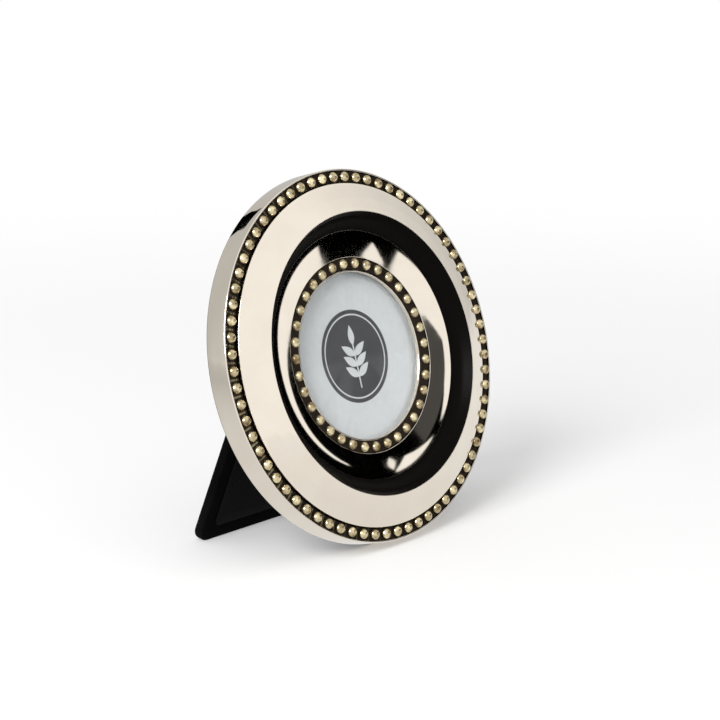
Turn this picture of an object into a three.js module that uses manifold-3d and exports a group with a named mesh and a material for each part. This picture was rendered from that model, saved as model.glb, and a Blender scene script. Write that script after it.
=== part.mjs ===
// A round beaded photo frame that stands on a folding easel leg.
// Millimetres, +Z up. The frame faces -Y and leans back on its leg.
// Inside the leaning group, Y runs from the front of the frame to its back and
// Y = 0 is the plane of the rim's back edge, so the front of the frame is at negative Y.

import * as THREE from "three";
import { mergeVertices } from "three/addons/utils/BufferGeometryUtils.js";
import Module from "manifold-3d";

const wasm = await Module();
wasm.setup();

// Window and the raised collar around it.
const WINDOW_RADIUS = 19.0;
const WINDOW_LIP_WIDTH = 0.45;
const WINDOW_LIP_RISE = 0.2;
const COLLAR_RIDGE_WIDTH = 0.95;
const COLLAR_RIDGE_RISE = 0.95;
const COLLAR_COVE_WIDTH = 1.1;
const COLLAR_STEP_WIDTH = 0.8;
const COLLAR_STEP_RISE = 1.05;
const COLLAR_FOOT_WIDTH = 0.7;

// Polished dish, crest and outer slope of the pressed front.
const SHEET = 1.0;
const DISH_FLOOR_WIDTH = 0.1;
const DISH_COVE_RADIUS = 5.0;
const DISH_COVE_SWEEP = THREE.MathUtils.degToRad(60);
const CREST_WALL_RUN = 1.86;
const CREST_RISE = 3.55;
const CREST_ROUND = 0.35;
const SLOPE_WIDTH = 6.0;
const SLOPE_FOOT_RISE = 0.2;
const SLOPE_BULGE = 0.25;
const SLOPE_STEP_WIDTH = 0.5;

// Rim.
const RIM_DEPTH = 5.95;
const RIM_LIP_WIDTH = 0.4;
const RIM_LIP_RISE = 0.75;
const RIM_EDGE_ROUND = 0.35;

// Beaded wires: half-round beads on a flat strip, soldered into their channels.
// The first bead stands so many pitches from the top. Shoulders and ends are angles from a bead's crown.
const OUTER_BEAD_RADIUS = 1.3;
const OUTER_BEAD_PITCH = 3.63;
const INNER_BEAD_RADIUS = 1.2;
const INNER_BEAD_PITCH = 3.74;
const OUTER_FIRST_BEAD = 0.5;
const INNER_FIRST_BEAD = 0.0;
const BEAD_SHOULDER_ANGLE = THREE.MathUtils.degToRad(30);
const BEAD_END_ANGLE = THREE.MathUtils.degToRad(72);
const BEAD_STRIP_MARGIN = 0.1;
const BEAD_STRIP_THICKNESS = 0.25;
const SOLDER_GAP = 0.1;

// Glass, picture and the velvet-covered back that is pushed into the rim.
const GLASS_THICKNESS = 1.2;
const GLASS_OVERLAP = 2.75;
const GLASS_CLEARANCE = 0.2;
const COLLAR_WEB = 0.65;
const PICTURE_THICKNESS = 0.2;
const PICTURE_MARGIN = 0.25;
const BACK_BOARD_THICKNESS = 1.3;
const BACK_CLEARANCE = 0.15;
const BACK_PROUD = 0.5;
const BACK_LINING_THICKNESS = 0.15;
const BACK_LINING_INSET = 3.5;
const VELVET = 0.4;
const VELVET_TURN_IN = 5.0;
const GLUE_GAP = 0.1;

// Easel leg: a velvet-wrapped tapered board.
const HINGE_HEIGHT = 22.0;
const LEG_LENGTH = 61.9;
const LEG_OPEN_ANGLE = THREE.MathUtils.degToRad(23.4);
const LEG_FOOT_HALF_WIDTH = 31.0;
const LEG_HINGE_HALF_WIDTH = 8.7;
const LEG_FOOT_CORNER = 2.2;
const LEG_TOP_CORNER = 2.5;
const LEG_LEAST_CORNER = 1.0;
const LEG_BOARD_THICKNESS = 1.5;
const LEG_LINING_THICKNESS = 0.2;
const LEG_LINING_INSET = 3.2;
const LEG_EDGE_ROUND = 0.4;
const LEG_STOP_GAP = 0.3;
const FOOT_CUT = 0.2;

// Stamped butt hinge and the tubular rivets that hold it.
const PIN_RADIUS = 0.7;
const PIN_CLEARANCE = 0.1;
const PIN_HEAD_PROUD = 0.4;
const HINGE_LEAF_THICKNESS = 0.55;
const HINGE_WIDTH = 14.0;
const HINGE_LEAF_LENGTH = 9.0;
const HINGE_KNUCKLE_LENGTH = 4.8;
const HINGE_KNUCKLE_GAP = 0.3;
const HINGE_CORNER = 1.5;
const RIVET_SPACING = 6.8;
const RIVET_DROP = 5.4;
const RIVET_SHANK_RADIUS = 0.8;
const RIVET_HEAD_RADIUS = 1.6;
const RIVET_HEAD_HEIGHT = 0.55;
const RIVET_CROWN_RADIUS = 0.95;
const RIVET_TAIL_RADIUS = 1.35;
const RIVET_TAIL_HEIGHT = 0.3;
const RIVET_CLEARANCE = 0.15;

// Facets of the turned pieces; an even count leaves a flat at the foot of the rim.
const RIM_FACETS = 56;
const RIVET_FACETS = 12;
const KNUCKLE_FACETS = 16;
const CORNER_FACETS = 5;
const DOME_STEPS = 3;
const COVE_STEPS = 4;
const COVE_BACK_STEPS = 3;
const EDGE_STEPS = 2;
const MERGE_TOLERANCE = 1e-4;

// Radii, worked out from the window to the rim.
const innerStripHalf = INNER_BEAD_RADIUS + BEAD_STRIP_MARGIN;
const outerStripHalf = OUTER_BEAD_RADIUS + BEAD_STRIP_MARGIN;
const innerChannelIn = WINDOW_RADIUS + WINDOW_LIP_WIDTH;
const innerBeadCircle = innerChannelIn + SOLDER_GAP + innerStripHalf;
const innerChannelOut = innerBeadCircle + innerStripHalf + SOLDER_GAP;
const ridgeOut = innerChannelOut + COLLAR_RIDGE_WIDTH;
const stepIn = ridgeOut + COLLAR_COVE_WIDTH;
const stepOut = stepIn + COLLAR_STEP_WIDTH;
const floorIn = stepOut + COLLAR_FOOT_WIDTH;
const floorOut = floorIn + DISH_FLOOR_WIDTH;
const creaseRadius = floorOut + DISH_COVE_RADIUS * Math.sin(DISH_COVE_SWEEP);
const crestIn = creaseRadius + CREST_WALL_RUN;
const slopeOut = crestIn + CREST_ROUND + SLOPE_WIDTH;
const outerChannelIn = slopeOut + SLOPE_STEP_WIDTH;
const outerBeadCircle = outerChannelIn + SOLDER_GAP + outerStripHalf;
const outerChannelOut = outerBeadCircle + outerStripHalf + SOLDER_GAP;
const rimRadius = outerChannelOut + RIM_LIP_WIDTH;
const rimInner = rimRadius - SHEET;
const glassRadius = WINDOW_RADIUS + GLASS_OVERLAP;
const pocketRadius = glassRadius + GLASS_CLEARANCE;
const pictureRadius = glassRadius - PICTURE_MARGIN;
const backRadius = rimInner - BACK_CLEARANCE;
const backBoardRadius = backRadius - VELVET - GLUE_GAP;
const backLiningRadius = backRadius - BACK_LINING_INSET;

// Heights above the plane of the rim's back edge, towards the front.
const velvetBack = -BACK_PROUD;
const backBoardBack = velvetBack + VELVET + GLUE_GAP;
const backBoardFront = backBoardBack + BACK_BOARD_THICKNESS;
const turnInFront = backBoardFront + GLUE_GAP + VELVET;
const backLiningBack = turnInFront + GLUE_GAP;
const backLiningFront = backLiningBack + BACK_LINING_THICKNESS;
const dishBack = backLiningFront + GLUE_GAP;
const dishFloor = dishBack + SHEET;
const pictureBack = backLiningFront + GLUE_GAP;
const glassBack = pictureBack + PICTURE_THICKNESS + GLUE_GAP;
const glassFront = glassBack + GLASS_THICKNESS;
const glassSeat = glassFront + GLUE_GAP;
const innerChannelFloor = glassSeat + COLLAR_WEB;
const windowLipTop = innerChannelFloor + WINDOW_LIP_RISE;
const ridgeTop = innerChannelFloor + COLLAR_RIDGE_RISE;
const stepTop = dishFloor + COLLAR_STEP_RISE;
const creaseHeight = dishFloor + DISH_COVE_RADIUS * (1 - Math.cos(DISH_COVE_SWEEP));
const crestTop = RIM_DEPTH + CREST_RISE;
const outerChannelFloor = RIM_DEPTH - RIM_LIP_RISE;
const slopeFoot = RIM_DEPTH + SLOPE_FOOT_RISE;

// Hinge and leg, measured from the pin's axis; positive is away from the frame.
const knuckleBore = PIN_RADIUS + PIN_CLEARANCE;
const knuckleRadius = knuckleBore + HINGE_LEAF_THICKNESS;
const pinStandoff = knuckleRadius + GLUE_GAP;
const pinBack = BACK_PROUD + pinStandoff;
const legLiningFace = knuckleRadius + GLUE_GAP;
const legVelvetFace = legLiningFace + LEG_LINING_THICKNESS + GLUE_GAP;
const legBoardFace = legVelvetFace + VELVET + GLUE_GAP;
const legBoardOuter = legBoardFace + LEG_BOARD_THICKNESS;
const legOuter = legBoardOuter + GLUE_GAP + VELVET;
const legTaper = (LEG_FOOT_HALF_WIDTH - LEG_HINGE_HALF_WIDTH) / LEG_LENGTH;
// The leg's top edge stops against the back when the leg is fully open.
const stopReach = legVelvetFace * Math.cos(LEG_OPEN_ANGLE) + pinStandoff - LEG_STOP_GAP;
const legTop = LEG_EDGE_ROUND + stopReach / Math.sin(LEG_OPEN_ANGLE);

const lean = leanOnLeg();

// The table line touches the rounded back edge of the rim and lies FOOT_CUT above
// the lowest line of the uncut foot. Its slope in the frame's own plane is the lean.
function leanOnLeg() {
  const rimFlat = rimRadius * Math.cos(Math.PI / RIM_FACETS);
  const footFace = legVelvetFace + LEG_EDGE_ROUND;
  const footUp = HINGE_HEIGHT - LEG_LENGTH * Math.cos(LEG_OPEN_ANGLE) + footFace * Math.sin(LEG_OPEN_ANGLE);
  const footBack = pinBack + LEG_LENGTH * Math.sin(LEG_OPEN_ANGLE) + footFace * Math.cos(LEG_OPEN_ANGLE);
  const rise = footUp + rimFlat - RIM_EDGE_ROUND;
  const run = footBack + RIM_EDGE_ROUND;
  return Math.atan2(rise, run) + Math.asin((RIM_EDGE_ROUND + FOOT_CUT) / Math.hypot(rise, run));
}

// Finishes.
const nickel = new THREE.MeshStandardMaterial({ color: 0xe2d6c0, roughness: 0.1, metalness: 1 });
const antiqued = new THREE.MeshStandardMaterial({ color: 0xc9b98f, roughness: 0.25, metalness: 1 });
const steel = new THREE.MeshStandardMaterial({ color: 0x9a958c, roughness: 0.35, metalness: 1 });
const glass = new THREE.MeshStandardMaterial({ color: 0xeef3f3, roughness: 0.05, metalness: 0 });
const print = new THREE.MeshStandardMaterial({ color: 0xcbd0d7, roughness: 0.6, metalness: 0 });
const greyBoard = new THREE.MeshStandardMaterial({ color: 0x8a8378, roughness: 0.9, metalness: 0 });
const velvet = new THREE.MeshStandardMaterial({ color: 0x060506, roughness: 1, metalness: 0 });
const liningPaper = new THREE.MeshStandardMaterial({ color: 0x17161a, roughness: 0.8, metalness: 0 });

// Solids from closed geometry, and back again, for cuts and joins.
function toSolid(geometry) {
  const bare = geometry.clone();
  bare.deleteAttribute("normal");
  bare.deleteAttribute("uv");
  const merged = mergeVertices(bare, MERGE_TOLERANCE);
  const vertProperties = new Float32Array(merged.attributes.position.array);
  const triVerts = new Uint32Array(merged.index.array);
  return new wasm.Manifold(new wasm.Mesh({ numProp: 3, vertProperties, triVerts }));
}

function toGeometry(solid) {
  const mesh = solid.getMesh();
  const geometry = new THREE.BufferGeometry();
  geometry.setAttribute("position", new THREE.BufferAttribute(new Float32Array(mesh.vertProperties), 3));
  geometry.setIndex(new THREE.BufferAttribute(new Uint32Array(mesh.triVerts), 1));
  geometry.computeVertexNormals();
  return geometry;
}

function cut(geometry, ...tools) {
  let solid = toSolid(geometry);
  for (const tool of tools) {
    solid = solid.subtract(toSolid(tool));
  }
  return toGeometry(solid);
}

function join(geometry, ...others) {
  let solid = toSolid(geometry);
  for (const other of others) {
    solid = solid.add(toSolid(other));
  }
  return toGeometry(solid);
}

// A profile of [radius, height towards the front], turned about the frame's axis.
function turned(profile, facets = RIM_FACETS) {
  const points = profile.map(([radius, height]) => new THREE.Vector2(radius, -height));
  return new THREE.LatheGeometry(points, facets, Math.PI / facets);
}

// Points of an arc in a profile, from one angle to another, both ends included.
function arc(centreRadius, centreHeight, radius, from, to, steps) {
  const points = [];
  for (let step = 0; step <= steps; step += 1) {
    const angle = from + ((to - from) * step) / steps;
    points.push([centreRadius + radius * Math.cos(angle), centreHeight + radius * Math.sin(angle)]);
  }
  return points;
}

// A flat disc between two heights, with a plain edge.
function disc(radius, back, front) {
  return turned([[0, front], [radius, front], [radius, back], [0, back]]);
}

// A cylinder along Y between two depths; used for shanks and for the holes they pass through.
function rod(radius, from, to, x, z, facets = RIVET_FACETS) {
  const geometry = new THREE.CylinderGeometry(radius, radius, to - from, facets);
  return geometry.translate(x, (from + to) / 2, z);
}

// A flat plate standing in the XZ plane, from one depth to another along Y.
function plate(shape, from, to, round = 0) {
  const geometry = new THREE.ExtrudeGeometry(shape, {
    depth: to - from - 2 * round,
    bevelEnabled: round > 0,
    bevelSize: round,
    bevelThickness: round,
    bevelOffset: -round,
    bevelSegments: 1,
    curveSegments: CORNER_FACETS,
  });
  return geometry.rotateX(Math.PI / 2).translate(0, to - round, 0);
}

function named(name, geometry, material) {
  const mesh = new THREE.Mesh(geometry, material);
  mesh.name = name;
  return mesh;
}

// Front of the shell from the window's edge out to the rim's back edge.
function shellFront() {
  const quarter = Math.PI / 2;
  const coveStart = -quarter;
  const coveEnd = DISH_COVE_SWEEP - quarter;
  const slopeIn = crestIn + CREST_ROUND;
  const slopeMiddle = [(slopeIn + slopeOut) / 2, (crestTop + slopeFoot) / 2 + SLOPE_BULGE];
  return [
    [WINDOW_RADIUS, windowLipTop],
    [innerChannelIn, windowLipTop],
    [innerChannelIn, innerChannelFloor],
    [innerChannelOut, innerChannelFloor],
    [innerChannelOut, ridgeTop],
    [ridgeOut, ridgeTop],
    [stepIn, stepTop],
    [stepOut, stepTop],
    [floorIn, dishFloor],
    ...arc(floorOut, dishFloor + DISH_COVE_RADIUS, DISH_COVE_RADIUS, coveStart, coveEnd, COVE_STEPS),
    [crestIn, crestTop - CREST_ROUND],
    [slopeIn, crestTop],
    slopeMiddle,
    [slopeOut, slopeFoot],
    [outerChannelIn, slopeFoot - SLOPE_FOOT_RISE],
    [outerChannelIn, outerChannelFloor],
    [outerChannelOut, outerChannelFloor],
    [outerChannelOut, RIM_DEPTH],
    [rimRadius - RIM_LIP_WIDTH / 2, RIM_DEPTH],
    [rimRadius, RIM_DEPTH - RIM_LIP_WIDTH / 2],
    ...arc(rimRadius - RIM_EDGE_ROUND, RIM_EDGE_ROUND, RIM_EDGE_ROUND, 0, -quarter, EDGE_STEPS),
  ];
}

// Back of the shell from the rim inward: the front carried back by the sheet's thickness,
// down to the flat land and the pocket that hold the glass.
function shellBack() {
  const quarter = Math.PI / 2;
  const coveCentre = dishFloor + DISH_COVE_RADIUS;
  const coveRadius = DISH_COVE_RADIUS + SHEET;
  const channelBack = outerChannelFloor - SHEET;
  return [
    [rimInner, 0],
    [rimInner, channelBack],
    [outerChannelIn - SHEET, channelBack],
    [slopeOut - SHEET, slopeFoot - SHEET],
    crestBackCorner(),
    ...arc(floorOut, coveCentre, coveRadius, DISH_COVE_SWEEP - quarter, -quarter, COVE_BACK_STEPS),
    [pocketRadius, dishBack],
    [pocketRadius, glassSeat],
    [WINDOW_RADIUS, glassSeat],
  ];
}

// Where the back of the crest wall meets the back of the slope.
function crestBackCorner() {
  const wall = new THREE.Vector2(CREST_WALL_RUN, crestTop - CREST_ROUND - creaseHeight).normalize();
  const slope = new THREE.Vector2(-SLOPE_WIDTH, crestTop - slopeFoot).normalize();
  const wallStart = new THREE.Vector2(creaseRadius + SHEET * wall.y, creaseHeight - SHEET * wall.x);
  const slopeStart = new THREE.Vector2(slopeOut - SHEET * slope.y, slopeFoot + SHEET * slope.x);
  const apart = slopeStart.clone().sub(wallStart);
  const along = apart.cross(slope) / wall.cross(slope);
  return [wallStart.x + wall.x * along, wallStart.y + wall.y * along];
}

function frontShell() {
  const profile = [...shellFront(), ...shellBack()];
  return named("front_shell", turned([...profile, profile[0]]), nickel);
}

// A wire of half-round beads joined by thin necks, closed into a ring.
// Its section is a flat strip with a dome whose radius follows the bead along the wire.
function beadedWire(circle, floor, beadRadius, pitch, firstBead) {
  const halfWidth = beadRadius + BEAD_STRIP_MARGIN;
  const base = floor + SOLDER_GAP;
  const count = Math.round((2 * Math.PI * circle) / pitch);
  const stations = [-BEAD_END_ANGLE, -BEAD_SHOULDER_ANGLE, BEAD_SHOULDER_ANGLE, BEAD_END_ANGLE];
  const positions = [];
  for (let bead = 0; bead < count; bead += 1) {
    for (const station of stations) {
      const turn = ((bead + firstBead) * 2 * Math.PI) / count + (beadRadius * Math.sin(station)) / circle;
      const dome = beadRadius * Math.cos(station);
      const crown = arc(0, base + BEAD_STRIP_THICKNESS, dome, 0, Math.PI, DOME_STEPS);
      const section = [[-halfWidth, base], [halfWidth, base], ...crown];
      for (const [out, height] of section) {
        positions.push((circle + out) * Math.sin(turn), -height, (circle + out) * Math.cos(turn));
      }
    }
  }
  return ringOfSections(positions, DOME_STEPS + 3);
}

// Joins equal closed sections, one after another, into a closed ring.
function ringOfSections(positions, sides) {
  const sections = positions.length / 3 / sides;
  const faces = [];
  for (let section = 0; section < sections; section += 1) {
    const here = section * sides;
    const next = ((section + 1) % sections) * sides;
    for (let side = 0; side < sides; side += 1) {
      const after = (side + 1) % sides;
      faces.push(here + side, here + after, next + side);
      faces.push(here + after, next + after, next + side);
    }
  }
  const geometry = new THREE.BufferGeometry();
  geometry.setAttribute("position", new THREE.Float32BufferAttribute(positions, 3));
  geometry.setIndex(faces);
  geometry.computeVertexNormals();
  return geometry;
}

function beadWires() {
  const outerBead = [OUTER_BEAD_RADIUS, OUTER_BEAD_PITCH, OUTER_FIRST_BEAD];
  const innerBead = [INNER_BEAD_RADIUS, INNER_BEAD_PITCH, INNER_FIRST_BEAD];
  const outer = beadedWire(outerBeadCircle, outerChannelFloor, ...outerBead);
  const inner = beadedWire(innerBeadCircle, innerChannelFloor, ...innerBead);
  return [named("outer_bead_wire", outer, antiqued), named("inner_bead_wire", inner, antiqued)];
}

function glazing() {
  const pane = disc(glassRadius, glassBack, glassFront);
  const picture = disc(pictureRadius, pictureBack, pictureBack + PICTURE_THICKNESS);
  return [named("glass_pane", pane, glass), named("photo_insert", picture, print)];
}

// The two rivets of a hinge leaf stand either side of the middle, below the pin.
const rivetSides = [["left", -RIVET_SPACING / 2], ["right", RIVET_SPACING / 2]];
const holeRadius = RIVET_SHANK_RADIUS + RIVET_CLEARANCE;
const tailHoleRadius = RIVET_TAIL_RADIUS + RIVET_CLEARANCE;
const boardTailDepth = RIVET_TAIL_HEIGHT + RIVET_CLEARANCE;

function rivetHoles(radius, from, to, height) {
  return rivetSides.map(([, x]) => rod(radius, from, to, x, height));
}

// A rivet along Y: domed head towards the back, shank, and rolled tail towards the front.
function rivet(headSeat, tailSeat) {
  const dome = RIVET_HEAD_HEIGHT / 2;
  const points = [
    [0, headSeat + RIVET_HEAD_HEIGHT],
    [RIVET_CROWN_RADIUS, headSeat + RIVET_HEAD_HEIGHT],
    [RIVET_HEAD_RADIUS, headSeat + dome],
    [RIVET_HEAD_RADIUS, headSeat],
    [RIVET_SHANK_RADIUS, headSeat],
    [RIVET_SHANK_RADIUS, tailSeat],
    [RIVET_TAIL_RADIUS, tailSeat],
    [RIVET_TAIL_RADIUS, tailSeat - RIVET_TAIL_HEIGHT],
    [0, tailSeat - RIVET_TAIL_HEIGHT],
  ];
  const profile = points.map(([radius, depth]) => new THREE.Vector2(radius, depth)).reverse();
  return new THREE.LatheGeometry(profile, RIVET_FACETS);
}

// Back: grey board wrapped in velvet that turns in over its front, and a paper lining over the turn-in.
function backPanel() {
  const drop = HINGE_HEIGHT - RIVET_DROP;
  const through = [-backLiningFront, pinBack];
  const shankHoles = rivetHoles(holeRadius, ...through, drop);
  const tailHoles = rivetHoles(tailHoleRadius, -backLiningFront, boardTailDepth - backBoardFront, drop);
  const board = cut(disc(backBoardRadius, backBoardBack, backBoardFront), ...shankHoles, ...tailHoles);
  const turnIn = backRadius - VELVET_TURN_IN;
  const wrap = turned([
    [0, velvetBack + VELVET],
    [backRadius - VELVET, velvetBack + VELVET],
    [backRadius - VELVET, turnInFront - VELVET],
    [turnIn, turnInFront - VELVET],
    [turnIn, turnInFront],
    [backRadius - VELVET / 2, turnInFront],
    [backRadius, turnInFront - VELVET / 2],
    [backRadius, velvetBack + VELVET / 2],
    [backRadius - VELVET / 2, velvetBack],
    [0, velvetBack],
  ]);
  return [
    named("back_board", board, greyBoard),
    named("back_velvet", cut(wrap, ...shankHoles), velvet),
    named("back_lining", disc(backLiningRadius, backLiningBack, backLiningFront), liningPaper),
  ];
}

// Outline of one hinge leaf below the pin, with gaps for the other leaf's knuckles.
function leafOutline(gaps) {
  const half = HINGE_WIDTH / 2;
  const notch = -(knuckleRadius + HINGE_KNUCKLE_GAP);
  const bottom = -HINGE_LEAF_LENGTH;
  const shape = new THREE.Shape();
  shape.moveTo(-half + HINGE_CORNER, bottom);
  shape.lineTo(half - HINGE_CORNER, bottom);
  shape.absarc(half - HINGE_CORNER, bottom + HINGE_CORNER, HINGE_CORNER, -Math.PI / 2, 0);
  shape.lineTo(half, gaps === "ends" ? notch : 0);
  const knuckleEdge = HINGE_KNUCKLE_LENGTH / 2 + HINGE_KNUCKLE_GAP * (gaps === "ends" ? 0 : 1);
  for (const x of [knuckleEdge, -knuckleEdge]) {
    const outer = gaps === "ends" ? notch : 0;
    const inner = gaps === "ends" ? 0 : notch;
    shape.lineTo(x, x > 0 ? outer : inner);
    shape.lineTo(x, x > 0 ? inner : outer);
  }
  shape.lineTo(-half, gaps === "ends" ? notch : 0);
  shape.lineTo(-half, bottom + HINGE_CORNER);
  shape.absarc(-half + HINGE_CORNER, bottom + HINGE_CORNER, HINGE_CORNER, Math.PI, 1.5 * Math.PI);
  return shape;
}

function knuckle(radius, from, to) {
  const geometry = new THREE.CylinderGeometry(radius, radius, to - from, KNUCKLE_FACETS);
  return geometry.rotateZ(Math.PI / 2).translate((from + to) / 2, 0, 0);
}

// A leaf lies beside the pin, at the front of it on the back and behind it on the leg.
function hingeLeaf(gaps, from, to, knuckles) {
  const bore = knuckle(knuckleBore, -HINGE_WIDTH, HINGE_WIDTH);
  const holes = rivetHoles(holeRadius, -2 * knuckleRadius, 2 * knuckleRadius, -RIVET_DROP);
  const rolled = knuckles.map(([left, right]) => knuckle(knuckleRadius, left, right));
  return cut(join(plate(leafOutline(gaps), from, to), ...rolled), bore, ...holes);
}

function boardHinge() {
  const group = new THREE.Group();
  group.position.set(0, pinBack, HINGE_HEIGHT);
  const half = HINGE_WIDTH / 2;
  const inner = HINGE_KNUCKLE_LENGTH / 2 + HINGE_KNUCKLE_GAP;
  const leaf = hingeLeaf("middle", -knuckleRadius, -knuckleBore, [[-half, -inner], [inner, half]]);
  const pin = knuckle(PIN_RADIUS, -half - PIN_HEAD_PROUD, half + PIN_HEAD_PROUD);
  group.add(named("hinge_board_leaf", leaf, steel), named("hinge_pin", pin, steel));
  const headSeat = GLUE_GAP - knuckleBore;
  const tailSeat = boardTailDepth - backBoardFront - pinBack - GLUE_GAP;
  for (const [side, x] of rivetSides) {
    const mesh = named(`board_rivet_${side}`, rivet(headSeat, tailSeat), steel);
    mesh.position.set(x, 0, -RIVET_DROP);
    group.add(mesh);
  }
  return group;
}

// Outline of the leg, drawn in by an inset, with round corners at the foot and the top.
function legOutline(inset) {
  const top = legTop - inset;
  const bottom = -LEG_LENGTH + inset;
  const sideInset = inset * Math.hypot(1, legTaper);
  const halfWidth = (height) => LEG_HINGE_HALF_WIDTH - legTaper * height - sideInset;
  const corners = [
    [-halfWidth(bottom), bottom, LEG_FOOT_CORNER],
    [halfWidth(bottom), bottom, LEG_FOOT_CORNER],
    [halfWidth(top), top, LEG_TOP_CORNER],
    [-halfWidth(top), top, LEG_TOP_CORNER],
  ];
  return roundedOutline(corners.map(([x, z, radius]) => [x, z, Math.max(radius - inset, LEG_LEAST_CORNER)]));
}

// A closed outline through corners of [x, z, radius], each corner replaced by its arc.
function roundedOutline(corners) {
  const shape = new THREE.Shape();
  corners.forEach(([x, z, radius], index) => {
    const corner = new THREE.Vector2(x, z);
    const before = corners[(index + corners.length - 1) % corners.length];
    const after = corners[(index + 1) % corners.length];
    const back = new THREE.Vector2(before[0], before[1]).sub(corner).normalize();
    const ahead = new THREE.Vector2(after[0], after[1]).sub(corner).normalize();
    const halfAngle = Math.acos(back.dot(ahead)) / 2;
    const start = corner.clone().addScaledVector(back, radius / Math.tan(halfAngle));
    const inward = back.clone().add(ahead).normalize();
    const centre = corner.clone().addScaledVector(inward, radius / Math.sin(halfAngle));
    const from = start.clone().sub(centre).angle();
    shape.absarc(centre.x, centre.y, radius, from, from + Math.PI - 2 * halfAngle);
  });
  shape.closePath();
  return shape;
}

// The table in the open leg's own frame: a block whose top face trims the foot flat.
function tableBlock() {
  const size = 4 * LEG_FOOT_HALF_WIDTH;
  const block = new THREE.BoxGeometry(size, size, size);
  const tilt = lean - LEG_OPEN_ANGLE;
  const lowest = new THREE.Vector3(0, legVelvetFace + LEG_EDGE_ROUND, -LEG_LENGTH);
  const up = new THREE.Vector3(0, 0, 1).applyAxisAngle(new THREE.Vector3(1, 0, 0), tilt);
  const centre = lowest.addScaledVector(up, FOOT_CUT - size / 2);
  return block.rotateX(tilt).translate(centre.x, centre.y, centre.z);
}

function legVelvet() {
  const wrap = plate(legOutline(0), legVelvetFace, legOuter, LEG_EDGE_ROUND);
  const boardSpace = plate(legOutline(VELVET), legVelvetFace + VELVET, legOuter - VELVET);
  const opening = plate(legOutline(VELVET_TURN_IN), legLiningFace, legBoardFace);
  const shankHoles = rivetHoles(holeRadius, 0, 2 * legOuter, -RIVET_DROP);
  return cut(wrap, boardSpace, opening, ...shankHoles, tableBlock());
}

function easelLeg() {
  const group = new THREE.Group();
  group.position.set(0, pinBack, HINGE_HEIGHT);
  group.rotation.x = LEG_OPEN_ANGLE;
  const shankHoles = rivetHoles(holeRadius, 0, 2 * legOuter, -RIVET_DROP);
  const board = cut(plate(legOutline(VELVET + GLUE_GAP), legBoardFace, legBoardOuter), ...shankHoles);
  const liningBack = legLiningFace + LEG_LINING_THICKNESS;
  const lining = cut(plate(legOutline(LEG_LINING_INSET), legLiningFace, liningBack), ...shankHoles);
  const reach = [[-HINGE_KNUCKLE_LENGTH / 2, HINGE_KNUCKLE_LENGTH / 2]];
  const leaf = hingeLeaf("ends", knuckleBore, knuckleRadius, reach);
  group.add(
    named("leg_board", board, greyBoard),
    named("leg_velvet", legVelvet(), velvet),
    named("leg_lining", lining, liningPaper),
    named("hinge_leg_leaf", leaf, steel),
  );
  for (const [side, x] of rivetSides) {
    const mesh = named(`leg_rivet_${side}`, rivet(legOuter + GLUE_GAP, knuckleBore - GLUE_GAP), steel);
    mesh.position.set(x, 0, -RIVET_DROP);
    group.add(mesh);
  }
  return group;
}

// The leaning frame, set down on the table with its box centred over the origin.
const standing = new THREE.Group();
standing.rotation.x = -lean;
standing.add(frontShell(), ...beadWires(), ...glazing(), ...backPanel(), boardHinge(), easelLeg());
const part = new THREE.Group();
part.add(standing);
part.updateMatrixWorld(true);
const box = new THREE.Box3().setFromObject(standing, true);
const middle = box.getCenter(new THREE.Vector3());
standing.position.set(-middle.x, -middle.y, -box.min.z);

export default part;
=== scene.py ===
"""A round beaded photo frame that leans back on a velvet easel leg, dressed over its CAD model."""

import math

import bpy
import numpy as np
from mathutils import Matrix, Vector


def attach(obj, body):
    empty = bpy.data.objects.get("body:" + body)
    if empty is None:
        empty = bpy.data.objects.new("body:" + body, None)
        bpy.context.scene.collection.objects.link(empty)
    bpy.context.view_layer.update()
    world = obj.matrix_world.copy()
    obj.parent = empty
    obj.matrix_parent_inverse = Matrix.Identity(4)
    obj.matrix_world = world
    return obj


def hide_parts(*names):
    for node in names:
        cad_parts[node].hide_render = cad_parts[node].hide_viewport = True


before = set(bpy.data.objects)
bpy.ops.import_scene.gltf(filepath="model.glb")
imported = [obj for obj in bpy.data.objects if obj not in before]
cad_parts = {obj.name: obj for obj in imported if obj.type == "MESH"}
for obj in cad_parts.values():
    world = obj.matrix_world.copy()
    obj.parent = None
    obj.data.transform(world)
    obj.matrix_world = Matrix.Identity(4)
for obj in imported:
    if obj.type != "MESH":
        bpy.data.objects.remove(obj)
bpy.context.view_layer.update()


# The front shell is one disc of brass sheet, spun over a form into a rim, a broad sloping ring and a
# dish that runs down to the window, then plated in warm nickel and buffed to a mirror. A dark stain
# stays in the bead channels. The dish wall under the crest and the back edge carry a painted dark
# reflection. The bead wires are soldered in, the rest is inside it.
MM = 0.001
LEAN = math.radians(16.48949)
TABLE_SHIFT = (-0.71521, 40.44994)
RING_STEPS = 360
FILLET_STEPS, RUN_POINTS = 7, 2
# Gloss and roughness of the darkened parts, real stain and painted shade alike.
STAIN_AND_SHADE_GLOSS, STAIN_AND_SHADE_ROUGHNESS = 0.03, 0.3


def stand(x, y, z):
    """Frame-plane millimetres to metres on the table: the plane leans back by LEAN about X, then shifts."""
    world_y = y * math.cos(LEAN) + z * math.sin(LEAN) + TABLE_SHIFT[0]
    world_z = -y * math.sin(LEAN) + z * math.cos(LEAN) + TABLE_SHIFT[1]
    return np.stack(np.broadcast_arrays(x, world_y, world_z), axis=-1) * MM


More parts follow.
